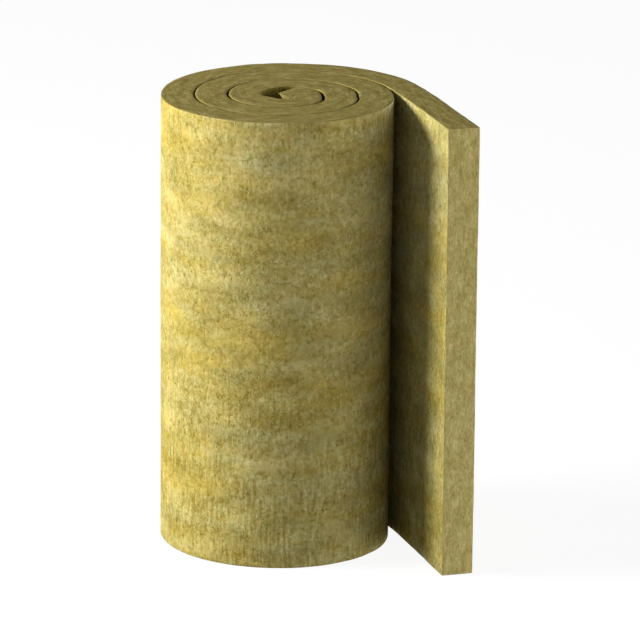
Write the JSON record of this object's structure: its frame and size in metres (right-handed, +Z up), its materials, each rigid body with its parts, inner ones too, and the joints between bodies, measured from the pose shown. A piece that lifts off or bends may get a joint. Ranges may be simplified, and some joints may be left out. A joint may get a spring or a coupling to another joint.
{
  "type": "mineral wool insulation roll",
  "caption": "Thick mineral wool mat wound into a spiral roll that stands on its end, its loose end led off to one side. Unrolled and cut to insulate roofs, walls and floors.",
  "frame": {"origin": "on the winding axis of the roll, at the floor", "axes": "+Z up along the winding axis, -Y towards the side where the loose end of the mat stops, +X towards the loose end"},
  "size_m": [0.6862, 0.5828, 1],
  "materials": {
    "mineral_wool": "matte, felted stone fibres in mottled straw, ochre and olive"
  },
  "bodies": {
    "root": {"rolled_mat": "mineral_wool"}
  },
  "joints": []
}
